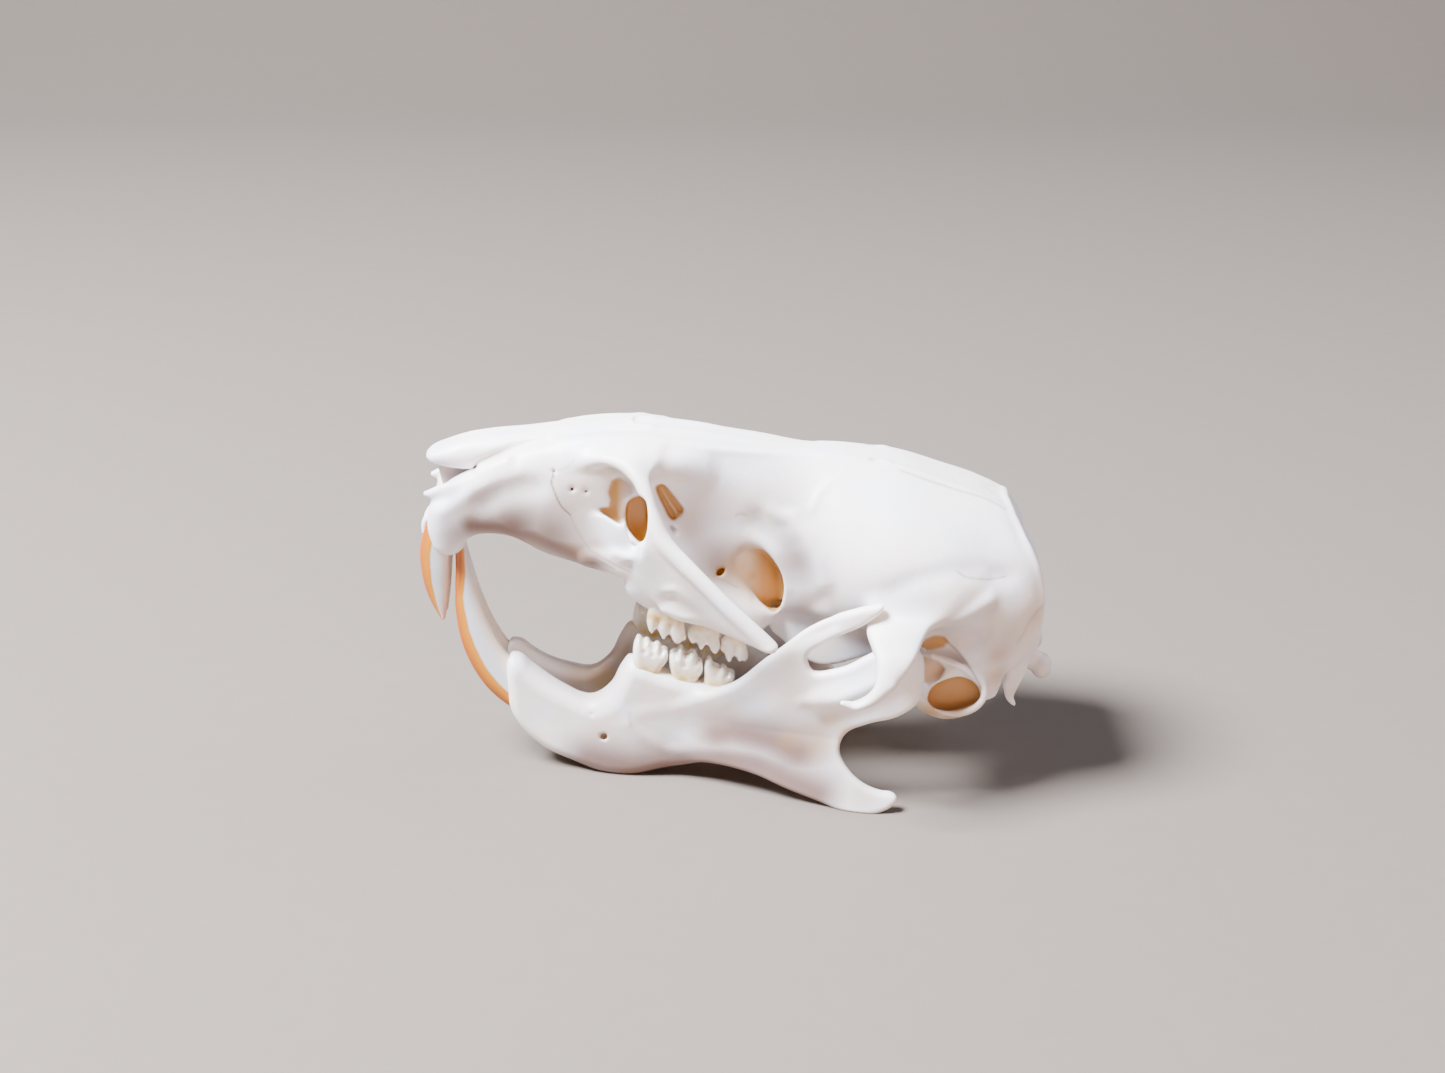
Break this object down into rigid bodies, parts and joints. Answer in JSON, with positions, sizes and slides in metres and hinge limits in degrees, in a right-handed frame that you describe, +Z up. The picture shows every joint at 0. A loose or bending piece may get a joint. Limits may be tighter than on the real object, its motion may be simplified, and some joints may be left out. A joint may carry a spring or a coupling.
{
  "type": "hamster skull",
  "caption": "Life-size bleached hamster skull with lower jaw, long orange-faced incisors, cheek arch without its jugal bone, rounded braincase and ear openings.",
  "frame": {"origin": "middle of the footprint, on the surface that the lower jaw rests on", "axes": "+X towards the back of the skull, +Y towards its right side, +Z up; the snout points along -X"},
  "size_m": [0.0366, 0.0196, 0.0209],
  "materials": {
    "bone": "satin bleached bone",
    "incisor_enamel": "glossy orange tooth enamel"
  },
  "bodies": {
    "root": {"cranium": "bone", "mandible_left": "bone", "mandible_right": "bone", "upper_incisor_left": "incisor_enamel", "upper_incisor_right": "incisor_enamel", "lower_incisor_left": "incisor_enamel", "lower_incisor_right": "incisor_enamel"}
  },
  "joints": []
}
